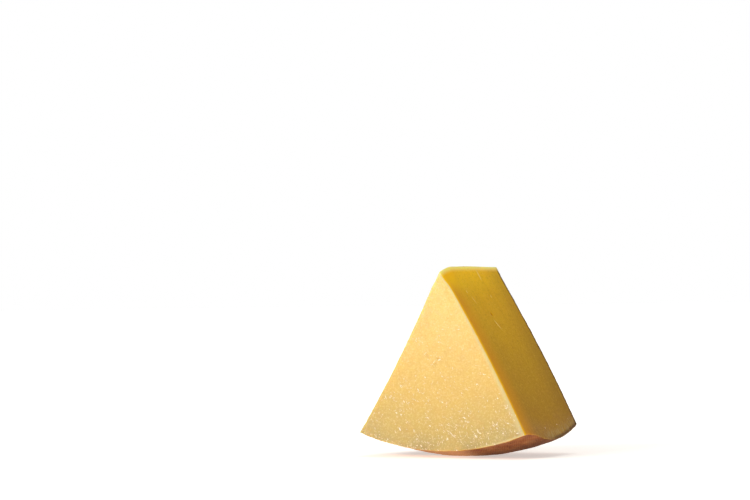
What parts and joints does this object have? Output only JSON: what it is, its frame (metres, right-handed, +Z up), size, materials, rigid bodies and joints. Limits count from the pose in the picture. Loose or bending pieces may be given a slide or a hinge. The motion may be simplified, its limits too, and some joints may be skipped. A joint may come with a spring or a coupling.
{
  "type": "cheese wedge",
  "caption": "Wedge of firm aged cheese with a granular front, smooth knife-cut sides, pale crystals and a brown natural rind, standing on its curved heel with the tip up.",
  "frame": {"origin": "under the middle of the wedge's box, on the surface that the heel stands on", "axes": "+Z up, from the heel to the tip edge; +Y from the front cut face to the rind side, along the wheel's own axis; +X to the right seen from the front"},
  "size_m": [0.1564, 0.097, 0.1508],
  "materials": {
    "cheese": "granular pale yellow paste with white crystals on the broken front face, smooth waxy knife cuts on the two sides, dull reddish brown dry rind on the heel and the back"
  },
  "bodies": {
    "root": {"cheese_wedge": "cheese"}
  },
  "joints": []
}
